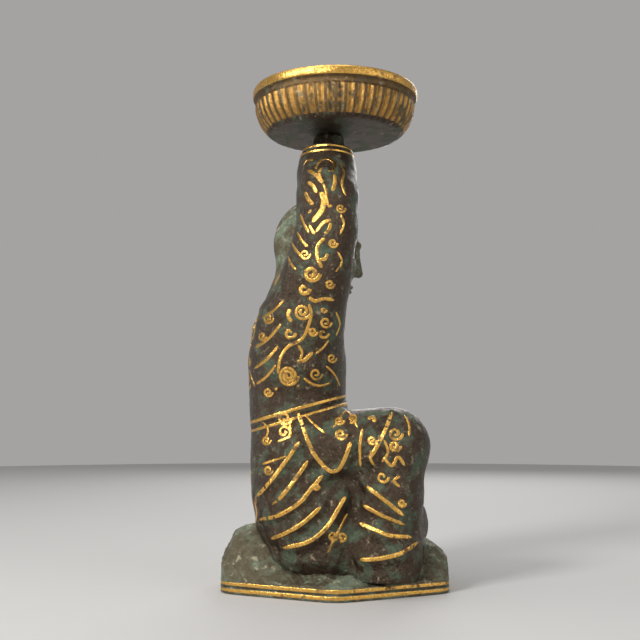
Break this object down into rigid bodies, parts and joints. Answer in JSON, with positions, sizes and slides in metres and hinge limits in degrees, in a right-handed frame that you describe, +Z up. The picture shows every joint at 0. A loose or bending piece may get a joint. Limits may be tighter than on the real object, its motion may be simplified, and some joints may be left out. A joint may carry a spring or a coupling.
{
  "type": "figural oil lamp",
  "caption": "Bronze lamp: a squatting attendant on a low rock plinth holds a round fluted oil dish with a wick pricket overhead.",
  "frame": {"origin": "centre of the plinth's underside", "axes": "+Z up, +X the way the figure faces, -Y its right side"},
  "size_m": [0.1456, 0.1167, 0.3306],
  "materials": {
    "dark_bronze": "dark patina",
    "green_bronze": "green patina",
    "dish_bronze": "worn gilt patina",
    "gold": "worn gold"
  },
  "bodies": {
    "figure": {"plinth": "green_bronze", "plinth_band_lower": "gold", "plinth_band_upper": "gold", "robe_skirt": "dark_bronze", "torso": "dark_bronze", "waist_band_lower": "gold", "waist_band_upper": "gold", "right_arm": "dark_bronze", "cuff_band_lower": "gold", "cuff_band_upper": "gold", "right_hand": "dark_bronze", "left_arm": "dark_bronze", "left_cuff_band": "gold", "left_hand": "dark_bronze", "head": "green_bronze", "neck_pin": "dark_bronze", "shoulder_pin": "dark_bronze", "waist_pin": "dark_bronze", "plinth_pin_1": "dark_bronze", "plinth_pin_2": "dark_bronze", "plinth_pin_3": "dark_bronze"},
    "tenon": {"dish_tenon": "dark_bronze"},
    "dish": {"lamp_dish": "dish_bronze", "dish_rim_band": "gold", "wick_pricket": "dark_bronze"}
  },
  "joints": [
    {"name": "dish_turn", "type": "hinge", "parent": "figure", "child": "tenon", "pos_m": [0.0008, 0, 0.29], "axis": [0, 0, 1], "continuous": true},
    {"name": "dish_lift", "type": "slide", "parent": "tenon", "child": "dish", "axis": [0, 0, 1], "range_m": [0, 0.03]}
  ]
}
